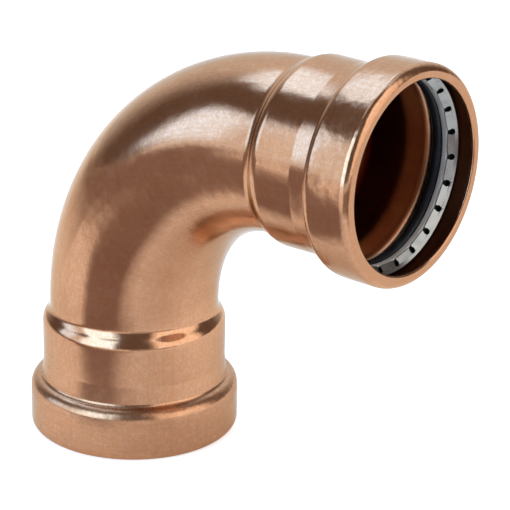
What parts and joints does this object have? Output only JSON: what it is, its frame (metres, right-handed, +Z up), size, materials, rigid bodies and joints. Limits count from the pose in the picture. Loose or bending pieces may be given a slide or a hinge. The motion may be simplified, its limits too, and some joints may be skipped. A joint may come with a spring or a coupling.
{
  "type": "press fit pipe elbow",
  "caption": "Copper press fit elbow, a bent tube with a beaded socket at each end that holds a seal ring, a separator ring and a toothed grip ring for a plain pipe.",
  "frame": {"origin": "centre of the lower mouth, in the plane of its rim", "axes": "+Z up the lower socket's axis into the fitting, +X out of the upper socket along its axis"},
  "size_m": [0.1702, 0.0802, 0.1703],
  "materials": {
    "copper": "satin drawn copper, uncoated",
    "seal_rubber": "smooth black moulded rubber",
    "separator_plastic": "smooth grey moulded plastic",
    "grip_steel": "rolled stainless strip"
  },
  "bodies": {
    "root": {"elbow_body": "copper", "lower_seal_ring": "seal_rubber", "lower_separator_ring": "separator_plastic", "lower_grip_ring": "grip_steel", "upper_seal_ring": "seal_rubber", "upper_separator_ring": "separator_plastic", "upper_grip_ring": "grip_steel"}
  },
  "joints": []
}
